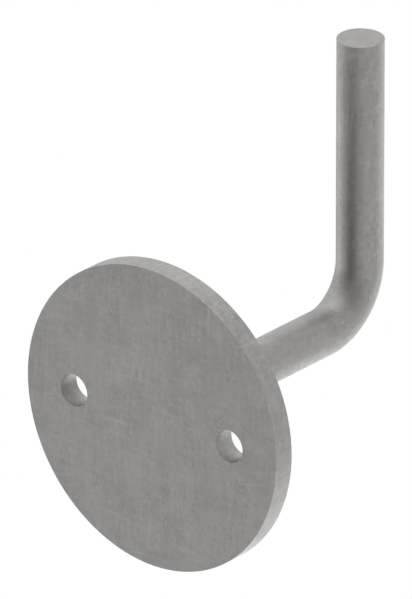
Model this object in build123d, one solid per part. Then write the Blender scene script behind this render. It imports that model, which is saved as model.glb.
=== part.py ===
"""Handrail bracket: a round wall plate, and a bent round bar welded to the middle of its face.

The bar leaves the plate square to the wall, turns upwards in one bend and ends in a plain sawn
face, where the handrail or its saddle is fixed. Two screws through the plate hold it to the wall.

Frame, in millimetres: +Z is up and X runs along the wall. The plane Y = 0 is the wall's surface
and the room is on the -Y side. The origin is the centre of the plate's wall face, where the
centre line of the bar's level leg meets the wall.
"""

import os

from build123d import *

# Wall plate: a disc cut from flat steel, with its sharp edges taken off
plate_diameter = 80.0
plate_thickness = 6.0
plate_edge_break = 0.2

# Screw holes: drilled through the plate, level with each other, one on each side of the bar
screw_hole_diameter = 8.5
screw_hole_spacing = 50.0
screw_hole_edge_break = 0.2

# Support bar: one length of round steel, sawn square at both ends and bent cold
bar_diameter = 12.0
bar_projection = 80.0  # from the wall to the centre line of the upright leg
bar_rise = 75.0  # from the centre line of the level leg to the top end
bend_radius = 15.0  # of the bar's centre line
bar_edge_break = 0.2

# Weld: one fillet bead all round the bar, where it stands on the plate
weld_leg = 4.0  # the bead's reach along the plate and along the bar
weld_crown = 0.4  # how far the bead's face bulges above the straight line between its toes

room_face_y = -plate_thickness  # the plate's room face, which carries the bar and the weld
bar_radius = bar_diameter / 2


def make_wall_plate():
    """The disc: one round blank, two holes through it, and every rim edge broken."""
    blank = extrude(Plane.XZ * Circle(plate_diameter / 2), plate_thickness)
    hole = extrude(Plane.XZ * Circle(screw_hole_diameter / 2), plate_thickness)
    plate = blank - [Pos(X=side * screw_hole_spacing / 2) * hole for side in (-1, 1)]
    rims = plate.edges().filter_by(GeomType.CIRCLE)
    outer_rims = rims.filter_by(lambda rim: rim.radius > screw_hole_diameter)
    plate = chamfer(outer_rims, plate_edge_break)
    hole_rims = plate.edges().filter_by(GeomType.CIRCLE).filter_by(
        lambda rim: rim.radius < screw_hole_diameter
    )
    return chamfer(hole_rims, screw_hole_edge_break)


def make_support_bar():
    """The bent bar: a circle swept along two straight legs joined by one tangent arc."""
    seat = (0, room_face_y, 0)
    corner = (0, -bar_projection, 0)
    top = (0, -bar_projection, bar_rise)
    centre_line = FilletPolyline(seat, corner, top, radius=bend_radius)
    section = Plane(origin=seat, z_dir=(0, -1, 0)) * Circle(bar_radius)
    bar = sweep(section, path=centre_line)
    top_rim = bar.faces().sort_by(Axis.Z)[-1].edges()
    return chamfer(top_rim, bar_edge_break)


def make_weld_bead():
    """The bead: a right-angled corner fillet with a bulging face, turned round the bar's axis."""
    bar_toe = (bar_radius, room_face_y - weld_leg)
    root = (bar_radius, room_face_y)
    plate_toe = (bar_radius + weld_leg, room_face_y)
    legs = Polyline(bar_toe, root, plate_toe)
    face = SagittaArc(plate_toe, bar_toe, weld_crown)
    return revolve(make_face([legs, face]), Axis.Y)


os.makedirs("parts", exist_ok=True)
nodes = {
    "wall_plate": make_wall_plate(),
    "support_bar": make_support_bar(),
    "weld_bead": make_weld_bead(),
}
for name, solid in nodes.items():
    export_step(solid, f"parts/{name}.step")
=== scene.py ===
import math

import bpy
import numpy as np
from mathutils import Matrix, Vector


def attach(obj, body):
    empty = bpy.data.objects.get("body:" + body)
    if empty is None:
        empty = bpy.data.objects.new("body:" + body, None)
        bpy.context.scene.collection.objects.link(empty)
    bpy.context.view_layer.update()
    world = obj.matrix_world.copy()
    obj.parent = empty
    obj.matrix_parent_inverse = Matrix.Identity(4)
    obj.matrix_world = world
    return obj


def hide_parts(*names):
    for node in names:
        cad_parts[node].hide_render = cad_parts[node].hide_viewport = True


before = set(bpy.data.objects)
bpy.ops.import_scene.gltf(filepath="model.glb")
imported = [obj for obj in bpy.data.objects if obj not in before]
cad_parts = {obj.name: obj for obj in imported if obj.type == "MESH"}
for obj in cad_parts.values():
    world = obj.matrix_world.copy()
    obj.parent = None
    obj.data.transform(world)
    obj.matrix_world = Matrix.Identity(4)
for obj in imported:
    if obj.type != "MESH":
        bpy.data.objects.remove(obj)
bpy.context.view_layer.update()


# Wall plate: an 80 mm disc cut from 6 mm hot-rolled flat steel and drilled for its two screws.
# Its sharp edges are broken with a file, and it is pickled to bare grey metal and left unpainted.
# Its own mesh stands here for the solid, whose few facets would show in the drilled walls.
plate_radius = 0.040
plate_thickness = 0.006
plate_edge_break = 0.00006
screw_hole_radius = 0.00425
screw_hole_offset = 0.025
screw_hole_edge_break = 0.0001
past_screw_holes = 0.035  # from the plate's axis to between the screw holes and the rim
bead_reach = 0.004  # of the weld bead, along the plate and along the bar
bead_toe = 0.010  # from the plate's axis to the bead's edge
far_side_tint = 0.05  # further than any heat tint, so the wall face has none
plate_grey = (0.2424, 0.2383, 0.2308)
plate_roughness = 0.47
cut_roughness = 0.54
# Painted light: the cut rim and the drilled walls are given this much lighter a colour, in place of
# light on them.
cut_face_painted_light = 0.06
# Painted light: the drilled walls are made lighter again by this much, against the shade inside the
# screw holes.
drilled_wall_painted_light = 0.14
wear_roughness = 0.06
relief_strength = 0.3
relief_depth = 0.00006


def surface_mesh(name, grids):
    """One mesh from grids of points. Gives it, with the number in the joined grids of each of its
    points.

    Neighbours in a grid are joined by a quad, points that lie in one place become one point, and a
    quad that has shrunk at a pole becomes a triangle.
    """
    points, quads, count = [], [], 0
    for grid in grids:
        rows, columns = grid.shape[:2]
        index = count + np.arange(rows * columns).reshape(rows, columns)
        quads.append(np.stack([index[:-1, :-1], index[:-1, 1:], index[1:, 1:], index[1:, :-1]],
                              axis=-1))
        points.append(grid.reshape(-1, 3))
        count += rows * columns
    points = np.concatenate(points)
    _, kept, merged = np.unique(np.round(points * 1e7).astype(int), axis=0, return_index=True,
                                return_inverse=True)
    quads = merged.reshape(-1)[np.concatenate([quad.reshape(-1, 4) for quad in quads])]
    apart = quads != np.roll(quads, -1, axis=1)
    corners = apart.sum(axis=1)
    triangles = quads[corners == 3][apart[corners == 3]].reshape(-1, 3)
    mesh = bpy.data.meshes.new(name)
    mesh.from_pydata(points[kept], [], quads[corners == 4].tolist() + triangles.tolist())
    mesh.polygons.foreach_set("use_smooth", np.ones(len(mesh.polygons), bool))
    mesh.update()
    return mesh, kept


def stand(name, mesh, material):
    """The finished mesh as an object at the origin, with its material."""
    mesh.materials.append(material)
    piece = bpy.data.objects.new(name, mesh)
    bpy.context.scene.collection.objects.link(piece)
    return piece


def cut_wall(thickness, edge_break):
    """The section of a cut or drilled wall between two flat faces: a quarter circle, a straight
    and a quarter circle. Gives how far each point stands out from where the flats end, and its
    depth."""
    corner = np.linspace(0, np.pi / 2, 6)
    share = np.array([0.004, 0.25, 0.5, 0.75, 0.996])
    straight = edge_break + (thickness - 2 * edge_break) * share
    out = np.concatenate([np.sin(corner), np.ones(len(straight)), np.cos(corner)]) * edge_break
    deep = np.concatenate([edge_break * (1 - np.cos(corner)), straight,
                           thickness - edge_break * (1 - np.sin(corner))])
    return out, deep


def build_wall_plate():
    """Two half discs, each a grid of rays from its screw hole to its outline, and the round rim.

    The outline of a half is its arc and the straight middle line, walked once round. A ray leaves
    the hole's middle for each outline point, and the section runs along it: over the wall face, in
    through the drilled wall and back over the room face. The rim is the cut wall turned about the
    plate's axis. The second half is the first, turned half way round that axis.
    """
    flat_radius = plate_radius - plate_edge_break
    arc = np.linspace(np.pi / 2, -np.pi / 2, 181)
    line = np.linspace(-flat_radius, flat_radius, 121)[1:]
    outline = np.concatenate([np.stack([np.cos(arc), np.sin(arc)], axis=-1) * flat_radius,
                              np.stack([line * 0, line], axis=-1)])
    ray = outline - (screw_hole_offset, 0)
    reach = np.linalg.norm(ray, axis=-1)
    ray = ray / reach[:, None]

    hole_flat = screw_hole_radius + screw_hole_edge_break
    share = np.array([0, 0.001, 0.1, 0.25, 0.5, 0.75, 0.9, 0.999, 1])[:, None]
    face = hole_flat + (reach - hole_flat) * share
    out, deep = cut_wall(plate_thickness, screw_hole_edge_break)
    drilled = np.broadcast_to((hole_flat - out)[:, None], (len(out), len(reach)))
    distance = np.concatenate([face[::-1], drilled[1:-1], face])
    depth = np.concatenate([face[:, 0] * 0, deep[1:-1], face[:, 0] * 0 + plate_thickness])
    flat = distance[:, :, None] * ray + (screw_hole_offset, 0)
    half = np.stack([flat[..., 0], np.broadcast_to(-depth[:, None], distance.shape),
                     flat[..., 1]], axis=-1)

    out, deep = cut_wall(plate_thickness, plate_edge_break)
    radius = (flat_radius + out)[:, None]
    rim = np.stack([radius * np.cos(arc), np.broadcast_to(-deep[:, None], (len(deep), len(arc))),
                    radius * np.sin(arc)], axis=-1)[::-1]
    turned = np.array([-1, 1, -1])
    return surface_mesh("wall plate", [half, half * turned, rim, rim * turned])[0]


def shader_group(name, inputs, outputs):
    """An empty node group with these sockets: (name, type, default) for each input, (name, type)
    for each output. Gives the group with its two end nodes."""
    group = bpy.data.node_groups.new(name, "ShaderNodeTree")
    for socket, kind, value in inputs:
        made = group.interface.new_socket(name=socket, in_out="INPUT", socket_type=kind)
        if value is not None:
            made.default_value = value
    for socket, kind in outputs:
        group.interface.new_socket(name=socket, in_out="OUTPUT", socket_type=kind)
    return group, group.nodes.new("NodeGroupInput"), group.nodes.new("NodeGroupOutput")


def node(tree, kind, settings=None, **sockets):
    """A node of this kind, with its settings, and each named socket given a value or a link. A
    socket called _2 is the third one."""
    made = tree.nodes.new(kind)
    for setting, value in (settings or {}).items():
        setattr(made, setting, value)
    for name, value in sockets.items():
        place = int(name[1:]) if name[0] == "_" else name.replace("_", " ")
        if isinstance(value, bpy.types.NodeSocket):
            tree.links.new(value, made.inputs[place])
        else:
            made.inputs[place].default_value = value
    return made


def maths(tree, operation, first, second=0.0, third=0.0):
    """One sum on two or three numbers or sockets."""
    return node(tree, "ShaderNodeMath", {"operation": operation},
                _0=first, _1=second, _2=third).outputs[0]


def spread(tree, value, low, high, new_low, new_high, smooth=False):
    """The value, moved from the span low to high onto the span new_low to new_high."""
    way = {"interpolation_type": "SMOOTHSTEP" if smooth else "LINEAR"}
    return node(tree, "ShaderNodeMapRange", way, Value=value, From_Min=low, From_Max=high,
                To_Min=new_low, To_Max=new_high).outputs[0]


def noise(tree, vector, stretch, per_metre, detail, roughness=0.5, seed=0.0):
    """Cloudy noise from about -0.2 to 0.2, with so many clouds to the metre. A factor in stretch
    under 1 draws the clouds out along that axis."""
    drawn = node(tree, "ShaderNodeMapping", None, Vector=vector,
                 Location=(seed, seed * 0.7, -seed), Scale=stretch).outputs[0]
    cloud = node(tree, "ShaderNodeTexNoise", None, Vector=drawn, Scale=per_metre, Detail=detail,
                 Roughness=roughness).outputs["Fac"]
    return maths(tree, "SUBTRACT", cloud, 0.5)


def weighed_sum(tree, *parts):
    """The sum of (socket, weight) pairs."""
    total = maths(tree, "MULTIPLY", *parts[0])
    for part, weight in parts[1:]:
        total = maths(tree, "MULTIPLY_ADD", part, weight, total)
    return total


def build_mill_finish():
    """Rolled and pickled steel: cloudy mottle from 13 mm down to 2 mm, a fine grain that the acid
    leaves, stronger in some patches than in others, thin streaks along the vector's Z, where the
    rolls drew the metal out, fainter marks across them, bright hairline scratches that run in
    small groups, and dull smudges from handling.

    Tone is how much lighter or darker the metal is, as a share of its colour. Wear is the
    scratches' strength on a scratch and 1 on a smudge. Height is the relief, in the same
    proportions as the fine parts of the tone.
    """
    scratch_strength = 1.6
    group, given, gives = shader_group(
        "Mill finish",
        [("Vector", "NodeSocketVector", None), ("Mottle", "NodeSocketFloat", 1.0),
         ("Streaks", "NodeSocketFloat", 1.0)],
        [("Tone", "NodeSocketFloat"), ("Wear", "NodeSocketFloat"), ("Height", "NodeSocketFloat")])
    vector = given.outputs["Vector"]

    mottle = noise(group, vector, (1, 1, 0.7), 75, 3.0, 1.0, seed=7.7)
    patches = noise(group, vector, (1, 1, 0.6), 210, 2.0, 0.6, seed=12.3)
    grain = noise(group, vector, (1, 1, 0.8), 1000, 1.0, 1.0, seed=1.3)
    grain = maths(group, "MULTIPLY", grain, spread(group, patches, -0.13, 0.13, 0.25, 1.4))
    mottled = maths(group, "MULTIPLY", weighed_sum(group, (mottle, 0.42), (grain, 0.42)),
                    given.outputs["Mottle"])

    runs = noise(group, vector, (1, 1, 0.5), 150, 1.0, seed=17.9)
    streaks = noise(group, vector, (1, 1, 0.1), 900, 1.0, 0.6, seed=4.1)
    streaks = maths(group, "MULTIPLY", streaks, spread(group, runs, -0.1, 0.15, 0.2, 1.8))
    bands = noise(group, vector, (1, 1, 0.1), 330, 1.0, 0.6, seed=8.8)
    streaked = maths(group, "MULTIPLY", weighed_sum(group, (streaks, 0.17), (bands, 0.09)),
                     given.outputs["Streaks"])

    sloped = node(group, "ShaderNodeMapping", None, Vector=vector, Rotation=(0, 0.06, 0)).outputs[0]
    cross = noise(group, sloped, (0.16, 1, 1), 800, 0.0, seed=6.2)

    hairs = []
    for turn, seed, threshold in ((0.12, 3.0, 0.15), (1.5, 9.0, 0.15), (1.32, 15.0, 0.17)):
        turned = node(group, "ShaderNodeMapping", None, Vector=vector, Rotation=(0, turn, 0),
                      Location=(seed, 0, seed)).outputs[0]
        hair = noise(group, turned, (1, 0.3, 0.04), 1100, 0.0, seed=seed)
        hair = spread(group, hair, threshold, threshold + 0.12, 0.0, scratch_strength, smooth=True)
        where = noise(group, turned, (1, 1, 0.7), 90, 1.0, seed=seed + 2)
        hairs.append(maths(group, "MULTIPLY", hair, spread(group, where, 0.02, 0.12, 0.0, 1.0)))
    scratched = maths(group, "MAXIMUM", maths(group, "MAXIMUM", *hairs[:2]), hairs[2])
    smudged = spread(group, noise(group, vector, (1, 1, 1), 120, 1.0, seed=21.0),
                     0.1, 0.3, 0.0, 1.0, smooth=True)

    tone = weighed_sum(group, (mottled, 1.0), (streaked, 1.0), (cross, 0.1), (scratched, 0.1),
                       (smudged, -0.06))
    height = weighed_sum(group, (grain, 0.3), (streaked, 1.0), (scratched, -0.1))
    wear = maths(group, "MAXIMUM", scratched, smudged)
    for name, socket in (("Tone", tone), ("Wear", wear), ("Height", height)):
        group.links.new(socket, gives.inputs[name])
    return group


def build_heat_tint():
    """The oxide colours that welding leaves, by the distance from the bead's toe in metres: a
    little dull scale next to the bead, then faint blue-grey, brown and straw, then bare steel. The
    edge of each colour wanders by a millimetre."""
    tint_width = 0.009
    tint_wander = 0.004
    group, given, gives = shader_group(
        "Heat tint", [("Distance", "NodeSocketFloat", 0.0), ("Vector", "NodeSocketVector", None)],
        [("Color", "NodeSocketColor")])
    ragged = noise(group, given.outputs["Vector"], (1, 1, 1), 260, 3.0, seed=5.0)
    reach = maths(group, "MULTIPLY_ADD", ragged, tint_wander, given.outputs["Distance"])
    ramp = node(group, "ShaderNodeValToRGB", None,
                Fac=spread(group, reach, 0.0, tint_width, 0.0, 1.0))
    band = ramp.color_ramp
    band.interpolation = "EASE"
    band.elements[0].position, band.elements[0].color = 0.0, (0.72, 0.715, 0.71, 1)
    band.elements[1].position, band.elements[1].color = 1.0, (1, 1, 1, 1)
    for place, colour in ((0.2, (0.77, 0.785, 0.815, 1)), (0.42, (0.88, 0.855, 0.85, 1)),
                          (0.68, (0.97, 0.94, 0.88, 1))):
        band.elements.new(place).color = colour
    group.links.new(ramp.outputs["Color"], gives.inputs["Color"])
    return group


mill_finish = build_mill_finish()
heat_tint = build_heat_tint()


def metal_material(name):
    """A new material with one bare-metal shader. Gives the material, its tree and the shader."""
    material = bpy.data.materials.new(name)
    material.use_nodes = True
    metal = next(part for part in material.node_tree.nodes if part.type == "BSDF_PRINCIPLED")
    metal.inputs["Metallic"].default_value = 1.0
    return material, material.node_tree, metal


def shaded(tree, grey, tone):
    """The grey, made lighter or darker by the tone, which is a share round zero."""
    gain = maths(tree, "ADD", tone, 1.0)
    return node(tree, "ShaderNodeVectorMath", {"operation": "SCALE"},
                _0=grey, Scale=gain).outputs[0]


def heat_tinted(tree, colour, distance, vector):
    """The colour, under the heat tint at this distance from the bead's toe."""
    tint = node(tree, "ShaderNodeGroup", {"node_tree": heat_tint}, Distance=distance,
                Vector=vector).outputs[0]
    return node(tree, "ShaderNodeVectorMath", {"operation": "MULTIPLY"},
                _0=colour, _1=tint).outputs[0]


def finish_metal(tree, metal, colour, roughness, height):
    """Gives the metal's shader its colour, its roughness and the relief of this height."""
    relief = node(tree, "ShaderNodeBump", None, Strength=relief_strength, Distance=relief_depth,
                  Height=height).outputs[0]
    for name, socket in (("Base Color", colour), ("Roughness", roughness), ("Normal", relief)):
        tree.links.new(socket, metal.inputs[name])


plate_steel, tree, metal = metal_material("plate steel")
place = node(tree, "ShaderNodeTexCoord").outputs
surface = node(tree, "ShaderNodeGroup", {"node_tree": mill_finish}, Vector=place["Object"]).outputs
facing = node(tree, "ShaderNodeSeparateXYZ", None, Vector=place["Normal"]).outputs
cut = spread(tree, maths(tree, "ABSOLUTE", facing["Y"]), 0.3, 0.6, 1.0, 0.0)
cut_lines = noise(tree, place["Object"], (1, 0.06, 1), 1100, 2.0, seed=31.0)
cut_lines = maths(tree, "MULTIPLY", cut_lines, cut)
spot = node(tree, "ShaderNodeSeparateXYZ", None, Vector=place["Object"]).outputs
from_axis = maths(tree, "SQRT", maths(tree, "ADD", maths(tree, "POWER", spot["X"], 2.0),
                                      maths(tree, "POWER", spot["Z"], 2.0)))
drilled = maths(tree, "MULTIPLY", cut, maths(tree, "LESS_THAN", from_axis, past_screw_holes))
on_wall_side = spread(tree, spot["Y"], -plate_thickness, 0.0, 0.0, far_side_tint)
from_bead = maths(tree, "ADD", maths(tree, "SUBTRACT", from_axis, bead_toe), on_wall_side)
# The tone holds the steel's real mottle and cut lines, and painted light: a lighter rim and lighter
# walls in the screw holes.
tone = weighed_sum(tree, (surface["Tone"], 1.0), (cut_lines, 0.3), (cut, cut_face_painted_light),
                   (drilled, drilled_wall_painted_light))
colour = heat_tinted(tree, shaded(tree, plate_grey, tone), from_bead, place["Object"])
gloss = weighed_sum(tree, (surface["Wear"], wear_roughness),
                    (cut, cut_roughness - plate_roughness))
finish_metal(tree, metal, colour, maths(tree, "ADD", gloss, plate_roughness),
             weighed_sum(tree, (surface["Height"], 1.0), (cut_lines, 0.2)))
plate = stand("cut_wall_plate", build_wall_plate(), plate_steel)
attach(plate, "root")
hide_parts("wall_plate")


# Support bar: one length of 12 mm round steel, sawn square, then bent cold over a former.
# It stands on the plate's room face and carries the rail's saddle on its upright end.
bar_radius = 0.006
level_run = 0.059
upright_run = 0.060
bend_radius = 0.015
bend_end = level_run + bend_radius * math.pi / 2
bar_length = bend_end + upright_run
bar_edge_break = 0.0001
bend_widening = 0.008
bend_flattening = 0.014
bar_mottle = 1.05
bar_streaks = 0.7
sawn_mottle = 0.8
bar_grey = (0.2424, 0.2383, 0.2308)
bar_roughness = 0.45
sawn_roughness = 0.03
level_leg_roughness = 0.54
level_leg_gain = 0.06


def bar_place(along, turn, out_x, out_bend):
    """Where a point of the bar is: walk the distance along its centre line, which is straight,
    then a quarter circle, then straight; there go out sideways by out_x times the cosine of the
    turn, and towards the inside of the bend by out_bend times its sine."""
    angle = np.clip((along - level_run) / bend_radius, 0, np.pi / 2)
    risen = np.clip(along - bend_end, 0, None)
    middle_y = -plate_thickness - np.clip(along, 0, level_run) - bend_radius * np.sin(angle)
    middle_z = bend_radius * (1 - np.cos(angle)) + risen
    inward = out_bend * np.sin(turn)
    return np.stack([out_x * np.cos(turn), middle_y + inward * np.sin(angle),
                     middle_z + inward * np.cos(angle)], axis=-1)


def build_support_bar():
    """Rings along the bar from its seat to its rounded top edge, closer together on the bend, and
    a flat face of shrinking rings at either end.

    The bend squeezes the section a little: narrower towards the bend's inside, wider across it.
    Each point also keeps where it was on the straight stock, so the finish follows the bend.
    """
    corner = np.linspace(0, np.pi / 2, 6)
    last_ring = bar_length - bar_edge_break - 0.00002
    legs = np.concatenate([np.linspace(0, level_run, 60, endpoint=False),
                           np.linspace(level_run, bend_end, 72, endpoint=False),
                           np.linspace(bend_end, last_ring, 60)])
    face = (bar_radius - bar_edge_break) * np.array([0.995, 0.9, 0.7, 0.5, 0.3, 0.15, 0])
    stations = np.concatenate([[0], legs, bar_length - bar_edge_break * (1 - np.sin(corner)),
                               face * 0 + bar_length])
    radii = np.concatenate([[0], legs * 0 + bar_radius,
                            bar_radius - bar_edge_break * (1 - np.cos(corner)), face])
    turn = np.linspace(0, 2 * np.pi, 129)
    turn[-1] = 0
    along, around = np.meshgrid(stations, turn, indexing="ij")
    radius = np.broadcast_to(radii[:, None], along.shape)
    bent = np.clip((along - level_run) / (bend_end - level_run), 0, 1)
    bent = np.sin(bent * np.pi) ** 2
    mesh, kept = surface_mesh("support bar", [
        bar_place(along, around, radius * (1 + bend_widening * bent),
                  radius * (1 - bend_flattening * bent))])
    stock = np.stack([radius * np.cos(around), radius * np.sin(around), along], axis=-1)
    stock = stock.reshape(-1, 3)[kept]
    mesh.attributes.new("stock", "FLOAT_VECTOR", "POINT").data.foreach_set(
        "vector", stock.astype(np.float32).ravel())
    sawn = stock[:, 2] > bar_length - bar_edge_break * 0.02
    mesh.attributes.new("sawn", "FLOAT", "POINT").data.foreach_set(
        "value", sawn.astype(np.float32))
    return mesh


bar_steel, tree, metal = metal_material("bar steel")
stock = node(tree, "ShaderNodeAttribute", {"attribute_name": "stock"}).outputs["Vector"]
sawn = node(tree, "ShaderNodeAttribute", {"attribute_name": "sawn"}).outputs["Fac"]
drawn = node(tree, "ShaderNodeMapping", None, Vector=stock, Scale=(1, 1, 0.85)).outputs[0]
surface = node(tree, "ShaderNodeGroup", {"node_tree": mill_finish}, Vector=drawn,
               Mottle=bar_mottle, Streaks=bar_streaks).outputs
saw_lines = noise(tree, stock, (1, 0.06, 1), 1500, 2.0, seed=41.0)
saw_lines = maths(tree, "MULTIPLY", saw_lines, sawn)
along = node(tree, "ShaderNodeSeparateXYZ", None, Vector=stock).outputs["Z"]
# One along the level leg and nothing on the upright, fading across the bend; the leg is lighter in
# colour and rougher there.
on_level_leg = spread(tree, along, level_run, bend_end, 1.0, 0.0)
mottled = maths(tree, "MULTIPLY", surface["Tone"], spread(tree, sawn, 0.0, 1.0, 1.0, sawn_mottle))
tone = weighed_sum(tree, (mottled, 1.0), (saw_lines, 0.2), (on_level_leg, level_leg_gain))
colour = heat_tinted(tree, shaded(tree, bar_grey, tone),
                     maths(tree, "SUBTRACT", along, bead_reach), stock)
gloss = weighed_sum(tree, (surface["Wear"], wear_roughness), (sawn, sawn_roughness),
                    (on_level_leg, level_leg_roughness - bar_roughness))
finish_metal(tree, metal, colour, maths(tree, "ADD", gloss, bar_roughness),
             weighed_sum(tree, (surface["Height"], 1.0), (saw_lines, 0.2)))
bar = stand("bent_support_bar", build_support_bar(), bar_steel)
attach(bar, "root")
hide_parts("support_bar")


# Weld bead: one fillet run laid by hand all round the bar's foot, in the corner with the plate.
# Each drop of filler leaves a ripple, and the run ends in a small crater over its own start.
bead_legs = 0.0039
bead_crown = 0.0003
bead_sunk = 0.00005
ripple_count = 44
ripple_height = 0.00007
ripple_rise = 0.72  # share of a ripple that climbs; the rest falls away
crater_place = -2.3  # radians round the bar
crater_swell = 0.00022
crater_depth = 0.0003
weld_grey = (0.225, 0.2215, 0.216)


def bead_section(lap, across):
    """A point of the bead's face. Across runs from 0 at the plate's toe to 1 at the bar's toe, on
    a straight line that bulges by a parabola; lap is the angle round the bar. Ripples are a
    lopsided wave in the lap, bowed forward in the middle of the run and fading at both toes. At
    the end of the run two bell curves in the lap make a swelling with a pit in it."""
    hump = 4 * across * (1 - across)
    wander = (1 + 0.022 * np.sin(3 * lap + 0.7) + 0.014 * np.sin(7 * lap + 2.1)
              + 0.01 * np.sin(13 * lap))
    phase = (lap * ripple_count / (2 * np.pi) + 0.5 * hump
             + 0.12 * np.sin(5 * lap) + 0.1 * np.sin(11 * lap + 1))
    saw = phase % 1.0
    ripple = np.where(saw < ripple_rise, saw / ripple_rise, (1 - saw) / (1 - ripple_rise))
    ripple = ripple * ripple * (3 - 2 * ripple)
    end = np.angle(np.exp(1j * (lap - crater_place)))
    crater = (crater_swell * np.exp(-(end / 0.16) ** 2) * hump
              - crater_depth * np.exp(-((end - 0.13) / 0.07) ** 2) * hump ** 2)
    proud = bead_crown * hump + ripple_height * (ripple - 0.5) * hump ** 0.5 + crater
    leg = bead_legs * wander * (1 + 0.02 * (ripple - 0.5))
    return leg * (1 - across) + proud / math.sqrt(2), leg * across + proud / math.sqrt(2)


def build_weld_bead():
    """The bead's section, closed by its root in the corner, carried round the bar as a ring."""
    lap = np.linspace(0, -2 * np.pi, 881)
    lap[-1] = 0
    lap_grid, across = np.meshgrid(lap, np.linspace(0, 1, 25), indexing="ij")
    out, up = bead_section(lap_grid, across)
    root = np.ones((len(lap), 1)) * -bead_sunk
    out = np.concatenate([out, root, root, out[:, :1]], axis=1)
    up = np.concatenate([up, up[:, -1:] * 0.66, root, up[:, :1]], axis=1)
    radius = bar_radius + out
    points = np.stack([radius * np.cos(lap)[:, None], -plate_thickness - up,
                       radius * np.sin(lap)[:, None]], axis=-1)
    return surface_mesh("weld bead", [points])[0]


weld_metal, tree, metal = metal_material("weld metal")
place = node(tree, "ShaderNodeTexCoord").outputs["Object"]
clouds = noise(tree, place, (1, 1, 1), 380, 4.0, 0.6, seed=3.0)
tree.links.new(shaded(tree, weld_grey, spread(tree, clouds, -0.2, 0.2, -0.22, 0.12)),
               metal.inputs["Base Color"])
tree.links.new(spread(tree, clouds, -0.2, 0.2, 0.5, 0.34), metal.inputs["Roughness"])
bead = stand("fillet_weld_bead", build_weld_bead(), weld_metal)
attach(bead, "root")
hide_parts("weld_bead")


# The room: a round pale floor well below the bracket, which is clear from underneath, in a white
# studio with soft boxes on all sides and a light panel under the bracket. The far side and the
# ceiling are the brightest, and a grey cloth hangs behind the photographer.
floor_radius = 0.4
floor_drop = 0.4
floor_middle_y = -0.04
floor_sides = 96
floor_white = 0.72
cloth_bearings = (262, 382)
cloth_heights = (2, 74)
cloth_distance = 1.6
cloth_grey = 0.5
light_panel_place = (0, -0.05, -0.34)
light_panel_side = 0.68
light_panel_brightness = 1.0
soft_box_side = 1.1
soft_box_distance = 1.5
soft_boxes = (
    # bearing, height angle, brightness beside the white room's 1
    (80, -25, 0.82), (160, -25, 0.69), (200, -25, 0.74), (240, -25, 0.13), (280, -25, 0.25),
    (40, 20, 0.15), (80, 20, 0.70), (120, 20, 0.50), (200, 20, 0.27), (240, 20, 0.39),
    (60, 58, 0.30), (120, 58, 1.39), (180, 58, 0.63), (0, 90, 1.08))


def matt_material(name, grey, clear_from_below=False):
    """A matt grey material, see-through from underneath where that is asked for."""
    material = bpy.data.materials.new(name)
    material.use_nodes = True
    tree = material.node_tree
    tree.nodes.clear()
    seen = node(tree, "ShaderNodeBsdfDiffuse", None, Color=(grey, grey, grey, 1))
    if clear_from_below:
        below = node(tree, "ShaderNodeNewGeometry").outputs["Backfacing"]
        clear = node(tree, "ShaderNodeBsdfTransparent")
        seen = node(tree, "ShaderNodeMixShader", None, Fac=below, _1=seen.outputs[0],
                    _2=clear.outputs[0])
    node(tree, "ShaderNodeOutputMaterial", None, Surface=seen.outputs[0])
    return material


def compass(bearing, height):
    """The direction of a bearing, clockwise from the wall, and a height angle, in degrees."""
    bearing, height = np.radians(bearing), np.radians(height)
    return np.stack([np.sin(bearing) * np.cos(height), np.cos(bearing) * np.cos(height),
                     np.sin(height) + bearing * 0], axis=-1)


def put_lamp(name, place, side, brightness):
    """A square lamp that faces the plate's middle and looks as bright as this share of the white
    room."""
    light = bpy.data.lights.new(name, "AREA")
    light.shape = "SQUARE"
    light.size = side
    light.energy = math.pi * side ** 2 * brightness
    lamp = bpy.data.objects.new(name, light)
    lamp.location = place
    lamp.rotation_euler = Vector(place).to_track_quat("Z", "Y").to_euler()
    lamp.visible_camera = False
    bpy.context.scene.collection.objects.link(lamp)


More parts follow.
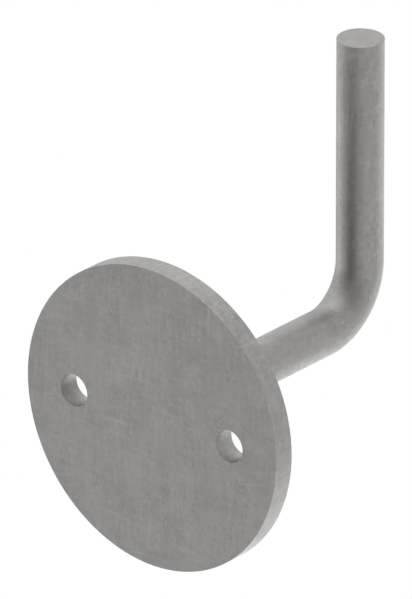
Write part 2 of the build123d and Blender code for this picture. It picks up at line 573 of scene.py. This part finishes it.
lap = np.linspace(0, 2 * np.pi, floor_sides, endpoint=False)
floor_mesh = bpy.data.meshes.new("floor")
floor_mesh.from_pydata(
    np.stack([floor_radius * np.cos(lap), floor_radius * np.sin(lap) + floor_middle_y,
              lap * 0 - floor_drop], axis=-1), [], [list(range(floor_sides))])
stand("floor", floor_mesh,
               matt_material("pale floor", floor_white, clear_from_below=True))

cloth_bearing, cloth_height = np.meshgrid(np.linspace(*cloth_bearings, 25),
                                          np.linspace(*cloth_heights, 17), indexing="ij")
cloth_mesh, _ = surface_mesh("grey cloth", [compass(cloth_bearing, cloth_height) * cloth_distance])
cloth = stand("grey_cloth", cloth_mesh, matt_material("grey cloth", cloth_grey))
cloth.visible_camera = False

for bearing, height, brightness in soft_boxes:
    put_lamp("soft box", compass(bearing, height) * soft_box_distance, soft_box_side, brightness)
put_lamp("light panel", light_panel_place, light_panel_side, light_panel_brightness)

studio = bpy.data.worlds.new("studio")
bpy.context.scene.world = studio
studio.use_nodes = True
sky = studio.node_tree.nodes["Background"]
sky.inputs["Color"].default_value = (1, 1, 1, 1)
sky.inputs["Strength"].default_value = 1.0


# The camera: a very long lens, which sees the wall side from above much as the photograph's
# parallel view does. It is turned and moved so that the outline lies within a pixel.
lens = 1100.0
camera_bearing = math.radians(220.197)
camera_height_angle = math.radians(24.877)
camera_distance = 4.4951
aim_right, aim_up = 0.013450, 0.029176

camera_data = bpy.data.cameras.new("camera")
camera_data.lens = lens
camera_data.clip_start, camera_data.clip_end = 0.1, 20.0
camera = bpy.data.objects.new("camera", camera_data)
bpy.context.scene.collection.objects.link(camera)
back = np.array([math.sin(camera_bearing) * math.cos(camera_height_angle),
                 -math.cos(camera_bearing) * math.cos(camera_height_angle),
                 math.sin(camera_height_angle)])
right = np.array([math.cos(camera_bearing), math.sin(camera_bearing), 0.0])
up = np.cross(back, right)
camera.location = aim_right * right + aim_up * up + camera_distance * back
camera.rotation_euler = (math.pi / 2 - camera_height_angle, 0.0, camera_bearing)
bpy.context.scene.camera = camera
bpy.context.scene.view_settings.view_transform = "Standard"
